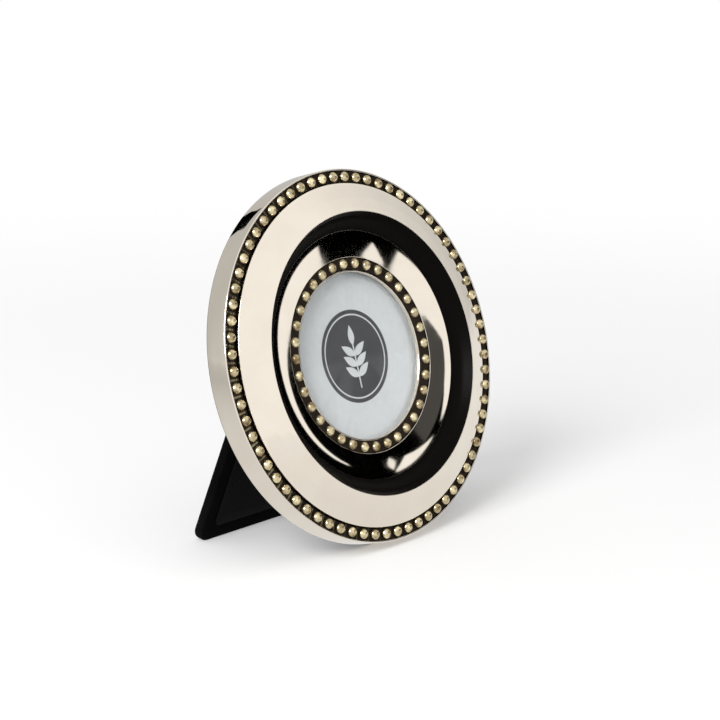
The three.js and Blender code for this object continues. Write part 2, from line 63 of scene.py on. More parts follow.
def rounded_path(corners, steps=FILLET_STEPS, between=0):
    """Closed outline through rows of (u, v, fillet): each corner becomes the arc of its fillet, whose
    directions from the arc's centre are interpolated at an even rate of turn between both tangents.
    The straight runs between arcs get that many points more."""
    corners = np.asarray(corners, float)
    point, fillet = corners[:, :2], corners[:, 2:3]
    back = np.roll(point, 1, axis=0) - point
    ahead = np.roll(point, -1, axis=0) - point
    back /= np.linalg.norm(back, axis=1, keepdims=True)
    ahead /= np.linalg.norm(ahead, axis=1, keepdims=True)
    half = np.arccos(np.clip((back * ahead).sum(1, keepdims=True), -1, 1)) / 2
    middle = back + ahead
    middle /= np.linalg.norm(middle, axis=1, keepdims=True)
    centre = point + middle * fillet / np.sin(half)
    start = point + back * fillet / np.tan(half) - centre
    end = point + ahead * fillet / np.tan(half) - centre
    share = np.linspace(0, 1, steps)[None, :, None]
    turn = (math.pi - 2 * half)[:, None, :]
    arcs = np.sin((1 - share) * turn) * start[:, None, :] + np.sin(share * turn) * end[:, None, :]
    path = centre[:, None, :] + arcs / np.sin(turn)
    share = np.linspace(0, 1, between + 2)[1:-1, None]
    runs = path[:, -1:] * (1 - share) + np.roll(path, -1, axis=0)[:, :1] * share
    return np.concatenate([path, runs], axis=1).reshape(-1, 2)


def closed_mesh(name, *patches, sharp=None, **attributes):
    """Mesh of patches, each a (rows, columns, 3) grid whose columns close on themselves, with None, if
    its rows close too, or with two poles, whose fans cap the first and the last row. The sign of a
    patch's volume, a sum of triple products, turns its faces outwards."""
    points, faces, start = [], [], 0
    for grid, poles in patches:
        rows, columns = grid.shape[:2]
        index = np.arange(rows * columns).reshape(rows, columns)
        lower = index if poles is None else index[:-1]
        upper = np.roll(index, -1, axis=0) if poles is None else index[1:]
        quads = np.stack([lower, np.roll(lower, -1, 1), np.roll(upper, -1, 1), upper], -1).reshape(-1, 4)
        fans = np.zeros((0, 3), int)
        shape = grid.reshape(-1, 3)
        if poles is not None:
            first = np.stack([np.full(columns, rows * columns), np.roll(index[0], -1), index[0]], -1)
            last = np.stack([np.full(columns, rows * columns + 1), index[-1], np.roll(index[-1], -1)], -1)
            fans = np.concatenate([first, last])
            shape = np.concatenate([shape, np.asarray(poles, float)])
        corner = shape[np.concatenate([quads[:, [0, 1, 2]], quads[:, [0, 2, 3]], fans])]
        volume = np.sum(corner[:, 0] * np.cross(corner[:, 1], corner[:, 2]))
        order = 1 if volume > 0 else -1
        faces += (quads[:, ::order] + start).tolist() + (fans[:, ::order] + start).tolist()
        points.append(shape)
        start += len(shape)
    mesh = bpy.data.meshes.new(name)
    mesh.from_pydata(np.concatenate(points).tolist(), [], faces)
    for key, values in attributes.items():
        layer = mesh.attributes.new(key, "FLOAT", "POINT")
        padded = np.zeros(start, np.float32)
        padded[: np.size(values)] = np.ravel(values)
        layer.data.foreach_set("value", padded)
    mesh.polygons.foreach_set("use_smooth", np.ones(len(faces), bool))
    if sharp is not None:
        mesh.set_sharp_from_angle(angle=math.radians(sharp))
    piece = bpy.data.objects.new(name, mesh)
    bpy.context.scene.collection.objects.link(piece)
    return piece


def fit_out(piece, material, body, node):
    """Gives a piece its finish, its body and the CAD node that it stands for."""
    piece.data.materials.append(material)
    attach(piece, body)
    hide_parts(node)


def turned_grid(profile, steps=RING_STEPS):
    """Profile rows of (radius, height towards the front) carried round the frame's axis."""
    turn = np.arange(steps) * 2 * math.pi / steps
    radius, height = profile[:, :1], profile[:, 1:]
    return stand(radius * np.sin(turn), -height, radius * np.cos(turn))


def finish_of(name, roughness, metallic=0.0):
    """A new material with its shader, a function that adds a node with its values set, and a linker."""
    material = bpy.data.materials.new(name)
    material.use_nodes = True
    tree = material.node_tree
    shader = tree.nodes["Principled BSDF"]
    shader.inputs["Roughness"].default_value = roughness
    shader.inputs["Metallic"].default_value = metallic

    def add(kind, settings=None, **inputs):
        node = tree.nodes.new(kind)
        for key, value in (settings or {}).items():
            setattr(node, key, value)
        for key, value in inputs.items():
            socket = node.inputs[key.replace("_", " ")]
            if isinstance(value, bpy.types.NodeSocket):
                tree.links.new(value, socket)
            else:
                socket.default_value = value
        return node

    return material, shader, add, tree.links.new


def colour_ramp(add, factor, stops):
    """A ramp node through rows of (position, red, green, blue)."""
    ramp = add("ShaderNodeValToRGB", Fac=factor)
    while len(ramp.color_ramp.elements) < len(stops):
        ramp.color_ramp.elements.new(0.5)
    for element, (position, *colour) in zip(ramp.color_ramp.elements, stops):
        element.position = position
        element.color = (*colour, 1)
    return ramp.outputs["Color"]


def warm_nickel(name, bright, dull, dark, metallic=1.0, patches=160.0):
    """Mirror-bright plating: patches of a bright and a dull colour, so many to the metre, that an attribute
    of stain and painted shade turns dark and matt."""
    material, shader, add, link = finish_of(name, 0.05, metallic)
    place = add("ShaderNodeTexCoord").outputs["Object"]
    cloud = add("ShaderNodeTexNoise", Vector=place, Scale=patches, Detail=3.0).outputs["Fac"]
    plating = colour_ramp(add, cloud, [(0.3, *dull), (0.7, *bright)])
    # The attribute holds real stain in the grooves and painted shade and painted dark reflections
    # elsewhere.
    tarnish = add("ShaderNodeAttribute", {"attribute_name": "tarnish"}).outputs["Fac"]
    mixed = add("ShaderNodeMix", {"data_type": "RGBA"})
    darkened = add("ShaderNodeMapRange", Value=tarnish, From_Max=0.7).outputs["Result"]
    link(darkened, mixed.inputs["Factor"])
    link(plating, mixed.inputs["A"])
    mixed.inputs["B"].default_value = (*dark, 1)
    link(mixed.outputs["Result"], shader.inputs["Base Color"])
    smear = add("ShaderNodeTexNoise", Vector=place, Scale=420.0, Detail=4.0).outputs["Fac"]
    polish = add("ShaderNodeMapRange", Value=smear, To_Min=0.02, To_Max=0.06).outputs["Result"]
    rough = add("ShaderNodeMath", {"operation": "MULTIPLY_ADD"})
    link(tarnish, rough.inputs[0])
    rough.inputs[1].default_value = STAIN_AND_SHADE_ROUGHNESS
    link(polish, rough.inputs[2])
    link(rough.outputs["Value"], shader.inputs["Roughness"])
    bare = add("ShaderNodeMapRange", Value=tarnish, From_Min=0.6, To_Min=metallic, To_Max=0.0)
    link(bare.outputs["Result"], shader.inputs["Metallic"])
    shader.inputs["Specular IOR Level"].default_value = STAIN_AND_SHADE_GLOSS
    ripple = add("ShaderNodeTexNoise", Vector=place, Scale=900.0, Detail=2.0).outputs["Fac"]
    bump = add("ShaderNodeBump", Strength=0.02, Distance=0.00004, Height=ripple)
    link(bump.outputs["Normal"], shader.inputs["Normal"])
    return material


WINDOW, LIP, INNER_CHANNEL, POCKET = 19.0, 19.45, 22.25, 21.95
# The last radius on the next line is where the painted dark reflection on the dish wall begins.
DISH, COVE, CREST, PAINTED_DARK_EDGE = 25.4, 30.2, 32.09, 28.3
SLOPE, SLOPE_OUT, CHANNEL_IN, OUTER_CHANNEL = 35.4, 38.44, 38.94, 41.94
RIM, RIM_INNER = 42.34, 41.34
GLASS_SEAT, POCKET_BACK, LIP_TOP, INNER_BED, DISH_EDGE = 3.75, 2.15, 4.6, 4.4, 5.05
CREST_TOP, SLOPE_FOOT, CHANNEL_TOP, OUTER_BED, RIM_TOP, INSIDE = 9.6, 6.75, 6.55, 5.2, 5.95, 4.2
DISH_BEND, COVE_BEND, SLOPE_BEND, REAR_BEND = 34.9, 4.0, 12.0, 5.8
front_corners = [
    (WINDOW, GLASS_SEAT, 0.05), (WINDOW, LIP_TOP, 0.2), (LIP, LIP_TOP, 0.15), (LIP, INNER_BED, 0.04),
    (INNER_CHANNEL, INNER_BED, 0.05), (INNER_CHANNEL, DISH_EDGE, 0.15), (DISH, 5.33, DISH_BEND),
    (COVE, 6.57, COVE_BEND), (CREST, CREST_TOP, 0.12),
]
rim_corners = [
    (SLOPE, 8.2, SLOPE_BEND), (SLOPE_OUT, SLOPE_FOOT, 0.12), (CHANNEL_IN, CHANNEL_TOP, 0.12),
    (CHANNEL_IN, OUTER_BED, 0.06), (OUTER_CHANNEL, OUTER_BED, 0.06), (OUTER_CHANNEL, RIM_TOP, 0.12),
    (RIM, RIM_TOP, 0.2), (RIM, 0, 0.35),
]
rear_corners = [
    (RIM_INNER, 0, 0.15), (RIM_INNER, INSIDE, 0.4), (37.94, INSIDE, 0.3), (37.44, 5.15, 0.3),
    (32.72, 8.2, 0.5), (29.5, POCKET_BACK, REAR_BEND), (POCKET, POCKET_BACK, 0.1),
    (POCKET, GLASS_SEAT, 0.1),
]
shell_profile = rounded_path(front_corners + rim_corners + rear_corners, between=RUN_POINTS)
to_crest = shell_profile[: len(front_corners) * (FILLET_STEPS + RUN_POINTS)]
radius, height = shell_profile.T
inner_groove = (
    (radius > LIP - 0.02) & (radius < INNER_CHANNEL + 0.02)
    & (height > INNER_BED - 0.1) & (height < DISH_EDGE + 0.15)
)
outer_groove = (
    (radius > CHANNEL_IN - 0.03) & (radius < OUTER_CHANNEL + 0.02)
    & (height > OUTER_BED - 0.1) & (height < CHANNEL_TOP - 0.1)
)
# Painted dark reflection along the rim's back edge, at the same level as the real stain in the grooves.
painted_dark_back_edge = (radius > OUTER_CHANNEL - 0.04) & (height < 0.3)
shell_stain_and_painted_shade = np.where(inner_groove | outer_groove | painted_dark_back_edge, 0.9, 0.0)
# Painted dark reflection: the polished dish wall from that radius out to the crest is painted near black
# and matt, in place of the dark surroundings it would mirror.
painted_dark_wall = (to_crest[:, 0] > PAINTED_DARK_EDGE) & (to_crest[:, 0] < CREST - 0.03)
shell_stain_and_painted_shade[: len(to_crest)][painted_dark_wall] = 1.0
nickel = warm_nickel("warm_nickel", (0.90, 0.83, 0.72), (0.87, 0.79, 0.68), (0.003, 0.0024, 0.0021))
shell_grid = turned_grid(shell_profile)
shell_grid[..., 2] = np.maximum(shell_grid[..., 2], 0)
shell = closed_mesh("front_shell_spun", (shell_grid, None), tarnish=np.repeat(shell_stain_and_painted_shade, RING_STEPS))
fit_out(shell, nickel, "frame", "front_shell")


# Each bead wire is a brass strip rolled between dies into a row of half-round beads joined by thin
# necks, bent into a ring and soldered into its channel. It is plated and stained dark brown, then the
# beads are buffed, which leaves patches of stain on them and all of it on the strip and the necks.
# The lower side of each bead is darkened towards its foot as painted shade.
BEAD_TURNS = np.radians(np.linspace(-88, 88, 15))
DOME_TURNS = np.linspace(0, math.pi, 13)
STRIP_MARGIN, STRIP_THICKNESS, NECK = 0.1, 0.25, 0.03
# The painted shade at the beads' feet and the stain on the strip share these levels and the stain's colour.
FOOT_STAIN_AND_SHADE, STAIN_AND_SHADE_FADE = 0.9, 0.55
BUFFED, PATCHED, STAINED_AND_SHADED = (0.98, 0.86, 0.55), (0.20, 0.13, 0.055), (0.030, 0.022, 0.016)


def beaded_ring(circle, bead, count, first, base, rubbed):
    """Section of a strip with a half-round dome, carried round a circle; along each bead the dome's
    radius is the bead's radius times the cosine of the turn, at a place of radius times its sine, and
    halfway to the next bead it is the neck's. The darkening, stain on the strip and painted shade on
    the bead's lower side, fades towards the bead's top, and on the strip it is rubbed away towards the
    frame's left."""
    within = np.append(bead * np.sin(BEAD_TURNS) / circle, math.pi / count)
    along = ((np.arange(count)[:, None] + first) * 2 * math.pi / count + within).ravel()[None, :]
    dome = np.tile(bead * np.append(np.cos(BEAD_TURNS), NECK), count)[None, :]
    half = bead + STRIP_MARGIN
    top = base + STRIP_THICKNESS
    level = np.ones_like(dome)
    out = np.concatenate([
        -half * level, -half * level, dome * -np.cos(DOME_TURNS)[:, None], half * level, half * level,
    ])
    up = np.concatenate([
        base * level, top * level, top + dome * np.sin(DOME_TURNS)[:, None], top * level, base * level,
    ])
    # Painted shade: the darkening runs from the strip up each bead's lower side and fades towards its top.
    bead_stain_and_shade = np.clip(FOOT_STAIN_AND_SHADE - (up - top) / (STAIN_AND_SHADE_FADE * bead), 0, 1)
    open_strip = np.tile(np.append(np.zeros(len(BEAD_TURNS)), 1), count)[None, :]
    bead_stain_and_shade = bead_stain_and_shade * (1 - rubbed * open_strip * (1 - np.sin(along)) / 2)
    return stand((circle + out) * np.sin(along), -up, (circle + out) * np.cos(along)), bead_stain_and_shade


for wire, circle, bead, count, first, base, rubbed, metallic in (
    ("outer_bead_wire", 40.44, 1.3, 70, 0.5, 5.3, 0.7, 0.9),
    ("inner_bead_wire", 20.85, 1.2, 35, 0.0, 4.5, 0.1, 0.6),
):
    ring, bead_stain_and_shade = beaded_ring(circle, bead, count, first, base, rubbed)
    beads = closed_mesh(wire + "_rolled", (ring, None), sharp=40, tarnish=bead_stain_and_shade)
    brass = warm_nickel(wire + "_brass", BUFFED, PATCHED, STAINED_AND_SHADED, metallic, patches=620.0)
    fit_out(beads, brass, "frame", wire)


# The pane is a disc of clear picture glass, cut and edge-ground, that drops into the pocket behind
# the window's edge and is held there by the picture and the back.
GLASS_RADIUS, GLASS_BACK, GLASS_FRONT = 21.75, 2.45, 3.65


def capped_path(corners):
    """The outline of rows of (radius, height, fillet) from one end of an axis to the other, and its two
    heights on the axis."""
    path = rounded_path([(-1, corners[0][1], 0.01), *corners, (-1, corners[-1][1], 0.01)])
    return path[FILLET_STEPS:-FILLET_STEPS], (corners[0][1], corners[-1][1])


def capped_turning(corners, steps=RING_STEPS):
    """A patch for a solid of revolution about the frame's axis, with poles at both its ends."""
    path, ends = capped_path(corners)
    return turned_grid(path, steps), stand(np.zeros(2), -np.array(ends), np.zeros(2))


clear_glass, shader, add, link = finish_of("clear_glass", 0.0)
shader.inputs["Base Color"].default_value = (0.97, 0.99, 0.985, 1)
shader.inputs["Transmission Weight"].default_value = 1
shader.inputs["IOR"].default_value = 1.25
pane_patch = capped_turning([(GLASS_RADIUS, GLASS_FRONT, 0.15), (GLASS_RADIUS, GLASS_BACK, 0.15)])
pane = closed_mesh("glass_pane_ground", pane_patch, sharp=30)
pane.visible_shadow = False
fit_out(pane, clear_glass, "frame", "glass_pane")


# The insert is a disc of coated paper, printed with a charcoal medallion: a plain leaf sprig inside
# a thin ring. It lies against the back of the glass.
PICTURE_RADIUS, PICTURE_BACK, PICTURE_FRONT = 21.5, 2.15, 2.35
MEDALLION, RING, RING_HALF, INK_EDGE = 10.6, 9.5, 0.17, 0.06
LEAF_LENGTH, LEAF_WIDTH, LEAF_LEAN = 4.6, 0.95, 0.95
STEM_HALF, STEM_MIDDLE, STEM_REACH = 0.2, -1.8, 5.4
TOP_LEAF, LEAF_FEET = 2.6, (-4.6, -2.2, 0.2)
FACE_RINGS, REAR_SKIP = 130, 43


def leaf(x, z, foot, lean):
    """Height of a leaf's outline over the paper: half its width times a skewed sine along its length,
    less the distance from its middle line; positive inside the leaf."""
    along = (x * math.sin(lean) + (z - foot) * math.cos(lean)) / LEAF_LENGTH
    across = np.abs(x * math.cos(lean) - (z - foot) * math.sin(lean))
    swell = LEAF_WIDTH * np.sin(math.pi * np.clip(along, 0, 1) ** 0.8)
    outside = np.maximum(-along, along - 1) * LEAF_LENGTH
    return np.where(outside > 0, -outside - across, swell - across)


def print_height(x, z):
    """Signed millimetres from the edge of the ink, positive on the ink: disc, less a ring and a sprig."""
    reach = np.hypot(x, z)
    ring = RING_HALF - np.abs(reach - RING)
    stem = STEM_HALF - np.abs(x) - np.maximum(0, np.abs(z - STEM_MIDDLE) - STEM_REACH)
    sprig = np.maximum(stem, leaf(x, z, TOP_LEAF, 0.0))
    for foot in LEAF_FEET:
        for side in (-1, 1):
            sprig = np.maximum(sprig, leaf(x, z, foot, side * LEAF_LEAN))
    return np.minimum(MEDALLION - reach, -np.maximum(ring, sprig))


rings = np.linspace(0.01, 0.995, FACE_RINGS) * PICTURE_RADIUS
face = np.stack([rings, np.full_like(rings, PICTURE_FRONT)], 1)
edge = np.array([[PICTURE_RADIUS, PICTURE_FRONT - 0.05], [PICTURE_RADIUS, PICTURE_BACK + 0.05]])
rear_rings = rings[::-REAR_SKIP]
rear = np.stack([rear_rings, np.full_like(rear_rings, PICTURE_BACK)], 1)
insert_profile = np.concatenate([face, edge, rear])
turn = np.arange(RING_STEPS) * 2 * math.pi / RING_STEPS
ink = print_height(insert_profile[:, :1] * np.sin(turn), insert_profile[:, :1] * np.cos(turn))
ink[len(face):] = -1
poles = stand(np.zeros(2), -np.array([PICTURE_FRONT, PICTURE_BACK]), np.zeros(2))
insert = closed_mesh(
    "photo_insert_printed", (turned_grid(insert_profile), poles), sharp=30, ink=np.append(ink, [-1, -1]),
)
printed_paper, shader, add, link = finish_of("printed_paper", 0.4)
place = add("ShaderNodeTexCoord").outputs["Object"]
edge_of_ink = add("ShaderNodeAttribute", {"attribute_name": "ink"}).outputs["Fac"]
inked = add("ShaderNodeMapRange", Value=edge_of_ink, From_Min=-INK_EDGE, From_Max=INK_EDGE)
fibre = add("ShaderNodeTexNoise", Vector=place, Scale=900.0, Detail=4.0).outputs["Fac"]
stock = colour_ramp(add, fibre, [(0.3, 0.57, 0.575, 0.585), (0.7, 0.61, 0.615, 0.625)])
charcoal = colour_ramp(add, fibre, [(0.3, 0.024, 0.023, 0.025), (0.7, 0.032, 0.030, 0.033)])
mixed = add("ShaderNodeMix", {"data_type": "RGBA"})
link(inked.outputs["Result"], mixed.inputs["Factor"])
link(stock, mixed.inputs["A"])
link(charcoal, mixed.inputs["B"])
link(mixed.outputs["Result"], shader.inputs["Base Color"])
fit_out(insert, printed_paper, "frame", "photo_insert")


# The back is a disc of grey board, punched for the rivets. A disc of black velvet is glued over its
# back and turned in over its front in small pleats, and black paper covers the turn-in.
BACK_RADIUS, TURN_IN, VELVET_BACK, VELVET_FRONT, VELVET = 41.19, 36.19, -0.5, 1.8, 0.4
LINING_RADIUS, LINING_BACK, LINING_FRONT = 37.69, 1.9, 2.05
PLEATS, PLEAT_DEPTH, PLEAT_START, PLEAT_GROWTH = 45, 0.16, 0.6, 2


def pressed_board(name):
    """Raw grey board: soft flecks of fibre over a warm grey."""
    material, shader, add, link = finish_of(name, 0.9)
    place = add("ShaderNodeTexCoord").outputs["Object"]
    fleck = add("ShaderNodeTexNoise", Vector=place, Scale=700.0, Detail=6.0, Roughness=0.7).outputs["Fac"]
    link(colour_ramp(add, fleck, [
        (0.3, 0.20, 0.185, 0.16), (0.55, 0.27, 0.25, 0.22), (0.75, 0.34, 0.32, 0.29),
    ]), shader.inputs["Base Color"])
    bump = add("ShaderNodeBump", Strength=0.3, Distance=0.00005, Height=fleck)
    link(bump.outputs["Normal"], shader.inputs["Normal"])
    return material


def black_velvet(name):
    """Short-pile velvet: near black, with brushed patches where the pile lies over and a soft sheen."""
    material, shader, add, link = finish_of(name, 1.0)
    shader.inputs["Specular IOR Level"].default_value = 0.05
    shader.inputs["Sheen Weight"].default_value = 0.035
    shader.inputs["Sheen Roughness"].default_value = 0.35
    shader.inputs["Sheen Tint"].default_value = (0.62, 0.60, 0.66, 1)
    place = add("ShaderNodeTexCoord").outputs["Object"]
    brushed = add("ShaderNodeTexNoise", Vector=place, Scale=90.0, Detail=3.0, Distortion=0.6).outputs["Fac"]
    pile = add("ShaderNodeTexNoise", Vector=place, Scale=4200.0, Detail=2.0).outputs["Fac"]
    mixed = add("ShaderNodeMath", {"operation": "MULTIPLY"})
    link(brushed, mixed.inputs[0])
    link(pile, mixed.inputs[1])
    link(colour_ramp(add, mixed.outputs["Value"], [
        (0.12, 0.0008, 0.0007, 0.0007), (0.25, 0.0020, 0.0018, 0.0018), (0.42, 0.0050, 0.0045, 0.0046),
    ]), shader.inputs["Base Color"])
    bump = add("ShaderNodeBump", Strength=0.6, Distance=0.00012, Height=pile)
    link(bump.outputs["Normal"], shader.inputs["Normal"])
    return material


def black_paper(name):
    """Matt black lining paper with a fine pressed grain."""
    material, shader, add, link = finish_of(name, 0.75)
    shader.inputs["Specular IOR Level"].default_value = 0.08
    place = add("ShaderNodeTexCoord").outputs["Object"]
    grain = add("ShaderNodeTexNoise", Vector=place, Scale=1500.0, Detail=4.0).outputs["Fac"]
    link(colour_ramp(add, grain, [
        (0.3, 0.0025, 0.0021, 0.0021), (0.7, 0.0052, 0.0045, 0.0045),
    ]), shader.inputs["Base Color"])
    bump = add("ShaderNodeBump", Strength=0.35, Distance=0.00005, Height=grain)
    link(bump.outputs["Normal"], shader.inputs["Normal"])
    return material


board_grey = pressed_board("grey_board")
velvet_black = black_velvet("velvet")
paper_black = black_paper("lining")
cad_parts["back_board"].data.materials.clear()
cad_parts["back_board"].data.materials.append(board_grey)

inside = BACK_RADIUS - VELVET
cover_path, cover_ends = capped_path([
    (inside, VELVET_BACK + VELVET, 0.05), (inside, VELVET_FRONT - VELVET, 0.05),
    (TURN_IN, VELVET_FRONT - VELVET, 0.05), (TURN_IN, VELVET_FRONT, 0.12),
    (BACK_RADIUS, VELVET_FRONT, 0.42), (BACK_RADIUS, VELVET_BACK, 0.42),
])
# The pleats are a cosine round the turned-in face, which grows from the edge inwards.
cover_turn = np.arange(RING_STEPS) * 2 * math.pi / RING_STEPS
radius, height = cover_path[:, :1], cover_path[:, 1:]
on_front = height > VELVET_FRONT - 0.3
pleated = np.clip((BACK_RADIUS - PLEAT_START - radius) / PLEAT_GROWTH, 0, 1) * on_front
height = height - pleated * PLEAT_DEPTH * (1 - np.cos(PLEATS * cover_turn)) / 2
cover = closed_mesh(
    "back_velvet_wrapped",
    (
        stand(radius * np.sin(cover_turn), -height, radius * np.cos(cover_turn)),
        stand(np.zeros(2), -np.array(cover_ends), np.zeros(2)),
    ),
)
fit_out(cover, velvet_black, "back", "back_velvet")

lining_patch = capped_turning([(LINING_RADIUS, LINING_FRONT, 0.03), (LINING_RADIUS, LINING_BACK, 0.03)])
lining = closed_mesh("back_lining_cut", lining_patch, sharp=30)
fit_out(lining, paper_black, "back", "back_lining")


# The hinge is stamped from thin steel: each leaf is a plate whose tongues are rolled into knuckles
# round the pin. It is nickel plated, and each leaf is held by two tubular rivets.
PIN_BACK, PIN_UP = 1.95, 22.0
LEG_TURN = math.radians(23.4)
HINGE_HALF, LEAF_LENGTH_DOWN, LEAF_CORNER, LEAF_SHEET, NOTCH = 7.0, 9.0, 1.5, 0.55, 1.65
ROLL_RADIUS, ROLL_SWEEP = 1.075, math.radians(292)
KNUCKLE_EDGE, KNUCKLE_GAP = 2.4, 0.3
LEAF_EDGE = 0.12
BAR_STEPS = 36


def from_pin(x, y, z, turn=0.0):
    """Points measured from the pin, y away from the back and z up, turned about the pin by an angle."""
    return stand(
        x,
        PIN_BACK + y * math.cos(turn) - z * math.sin(turn),
        PIN_UP + y * math.sin(turn) + z * math.cos(turn),
    )


def strip_along(path, left, right, turn):
    """A patch for a strip of the leaf's sheet along a path of (y, z). Its section spans left to right
    along X and half the sheet either side of the path along its normal, with rounded edges."""
    ahead = np.gradient(path, axis=0)
    ahead /= np.linalg.norm(ahead, axis=1, keepdims=True)
    bend = np.radians(np.add.outer([0, 90, 180, 270], [0, 30, 60, 90])).ravel()
    is_right = np.repeat([True, False, False, True], 4)
    side = np.repeat([1, 1, -1, -1], 4)
    x = np.where(is_right, right - LEAF_EDGE, left + LEAF_EDGE) + LEAF_EDGE * np.cos(bend)
    off = side * (LEAF_SHEET / 2 - LEAF_EDGE) + LEAF_EDGE * np.sin(bend)
    y = path[:, :1] - ahead[:, 1:] * off
    z = path[:, 1:] + ahead[:, :1] * off
    grid = from_pin(np.broadcast_to(x, y.shape), y, z, turn)
    return grid, grid[[0, -1]].mean(axis=1)


def leaf_patches(side, knuckles, turn):
    """The plate below the notch, narrowed at its lower corners by quarter circles, and a rolled tongue
    for each knuckle: straight up to the pin's height, then round it by the sweep of the roll."""
    bend = np.linspace(0, math.pi / 2, 8)
    down = np.append(LEAF_CORNER * (1 - np.cos(bend)), LEAF_LENGTH_DOWN - NOTCH) - LEAF_LENGTH_DOWN
    half = HINGE_HALF - np.append(LEAF_CORNER * (1 - np.sin(bend)), 0)
    plate = np.stack([np.full_like(down, side * ROLL_RADIUS), down], 1)
    patches = [strip_along(plate, -half[:, None], half[:, None], turn)]
    roll = np.linspace(0, ROLL_SWEEP, 40)
    tongue = np.concatenate([
        [[side * ROLL_RADIUS, -NOTCH], [side * ROLL_RADIUS, -NOTCH / 2]],
        ROLL_RADIUS * np.stack([side * np.cos(roll), np.sin(roll)], 1),
    ])
    return patches + [strip_along(tongue, left, right, turn) for left, right in knuckles]


def plated_steel(name):
    """Dull nickel plate over stamped steel: a cool grey with faint rolling marks along Z."""
    material, shader, add, link = finish_of(name, 0.3, metallic=1)
    place = add("ShaderNodeTexCoord").outputs["Object"]
    stretched = add("ShaderNodeMapping", Vector=place, Scale=(2200.0, 300.0, 120.0)).outputs["Vector"]
    mark = add("ShaderNodeTexNoise", Vector=stretched, Scale=1.0, Detail=3.0).outputs["Fac"]
    link(colour_ramp(add, mark, [
        (0.3, 0.44, 0.42, 0.39), (0.7, 0.60, 0.58, 0.54),
    ]), shader.inputs["Base Color"])
    rough = add("ShaderNodeMapRange", Value=mark, To_Min=0.2, To_Max=0.4).outputs["Result"]
    link(rough, shader.inputs["Roughness"])
    return material


hinge_steel = plated_steel("plated_steel")
outer_tongues = [(-HINGE_HALF, -KNUCKLE_EDGE - KNUCKLE_GAP), (KNUCKLE_EDGE + KNUCKLE_GAP, HINGE_HALF)]
board_leaf = closed_mesh("hinge_board_leaf_rolled", *leaf_patches(-1, outer_tongues, 0.0), sharp=35)
fit_out(board_leaf, hinge_steel, "back", "hinge_board_leaf")
leg_leaf = closed_mesh(
    "hinge_leg_leaf_rolled", *leaf_patches(1, [(-KNUCKLE_EDGE, KNUCKLE_EDGE)], LEG_TURN), sharp=35,
)
fit_out(leg_leaf, hinge_steel, "leg", "hinge_leg_leaf")


def round_bar(path, ends, place):
    """A patch for a bar turned about its own axis: rows of (radius, distance along), put in place by a
    function of two directions across and one along."""
    turn = np.arange(BAR_STEPS) * 2 * math.pi / BAR_STEPS
    radius, along = path[:, :1], path[:, 1:]
    grid = place(radius * np.sin(turn), radius * np.cos(turn), np.repeat(along, BAR_STEPS, axis=1))
    return grid, place(np.zeros(2), np.zeros(2), np.array(ends))


PIN_HALF, PIN_RADIUS = 7.4, 0.7
pin_patch = round_bar(
    *capped_path([(PIN_RADIUS, PIN_HALF, 0.25), (PIN_RADIUS, -PIN_HALF, 0.25)]),
    lambda a, b, along: from_pin(along, a, b),
)
fit_out(closed_mesh("hinge_pin_headed", pin_patch, sharp=35), hinge_steel, "back", "hinge_pin")

RIVET_X, RIVET_DROP = 3.4, 5.4
CROWN, HEAD, SHANK, TAIL, BORE = 0.9, 1.6, 0.8, 1.35, 0.55
CROWN_RISE, HEAD_RISE, TAIL_RISE, BORE_DEPTH = 0.55, 0.30, 0.3, 0.6


def rivet_patch(x, head_seat, tail_seat, turn):
    """A tubular rivet along y: a low domed head, a shank, and a tail rolled outwards round its bore."""
    path, ends = capped_path([
        (CROWN, head_seat + CROWN_RISE, 0.7), (HEAD, head_seat + HEAD_RISE, 0.22), (HEAD, head_seat, 0.05),
        (SHANK, head_seat, 0.05), (SHANK, tail_seat, 0.05), (TAIL, tail_seat, 0.12),
        (TAIL, tail_seat - TAIL_RISE, 0.14), (BORE, tail_seat - TAIL_RISE, 0.14),
        (BORE, tail_seat + BORE_DEPTH, 0.05),
    ])
    return round_bar(path, ends, lambda a, b, along: from_pin(x + a, along, b - RIVET_DROP, turn))


for rivet, body, x, head_seat, tail_seat, turn in (
    ("board_rivet_left", "back", -RIVET_X, -0.7, -2.9, 0.0),
    ("board_rivet_right", "back", RIVET_X, -0.7, -2.9, 0.0),
    ("leg_rivet_left", "leg", -RIVET_X, 4.35, 0.7, LEG_TURN),
    ("leg_rivet_right", "leg", RIVET_X, 4.35, 0.7, LEG_TURN),
):
    studs = closed_mesh(rivet + "_set", rivet_patch(x, head_seat, tail_seat, turn), sharp=35)
    fit_out(studs, hinge_steel, body, rivet)


# The easel leg is a tapered board wrapped in the same velvet, which turns in over its front face, and
# a sheet of black paper covers the turn-in there. Its foot is flat where it stands on the table.
LEG_FOOT, LEG_TOP, LEG_MIDDLE = -61.9, 7.34, -36.0
LEG_HALF, LEG_TAPER = 8.7, 0.360258
LEG_FRONT, LEG_OUTER, LEG_ROUND, LEG_TURN_IN = 1.75, 4.25, 0.4, 5.0
LEG_LINING_INSET, LEG_LINING_FRONT, LEG_LINING_BACK = 3.2, 1.45, 1.65
FOOT_CORNER, TOP_CORNER, LEAST_CORNER = 2.2, 2.5, 1.0
CORNER_STEPS, SIDE_POINTS = 9, 24


def leg_outline(inset):
    """The leg's tapered outline of (x, z) with rounded corners, drawn in by an inset."""
    top, foot = LEG_TOP - inset, LEG_FOOT + inset
    side = inset * math.hypot(1, LEG_TAPER)
    wide, narrow = LEG_HALF - LEG_TAPER * foot - side, LEG_HALF - LEG_TAPER * top - side
    low, high = max(FOOT_CORNER - inset, LEAST_CORNER), max(TOP_CORNER - inset, LEAST_CORNER)
    corners = [(-wide, foot, low), (wide, foot, low), (narrow, top, high), (-narrow, top, high)]
    return rounded_path(corners, steps=CORNER_STEPS, between=SIDE_POINTS)


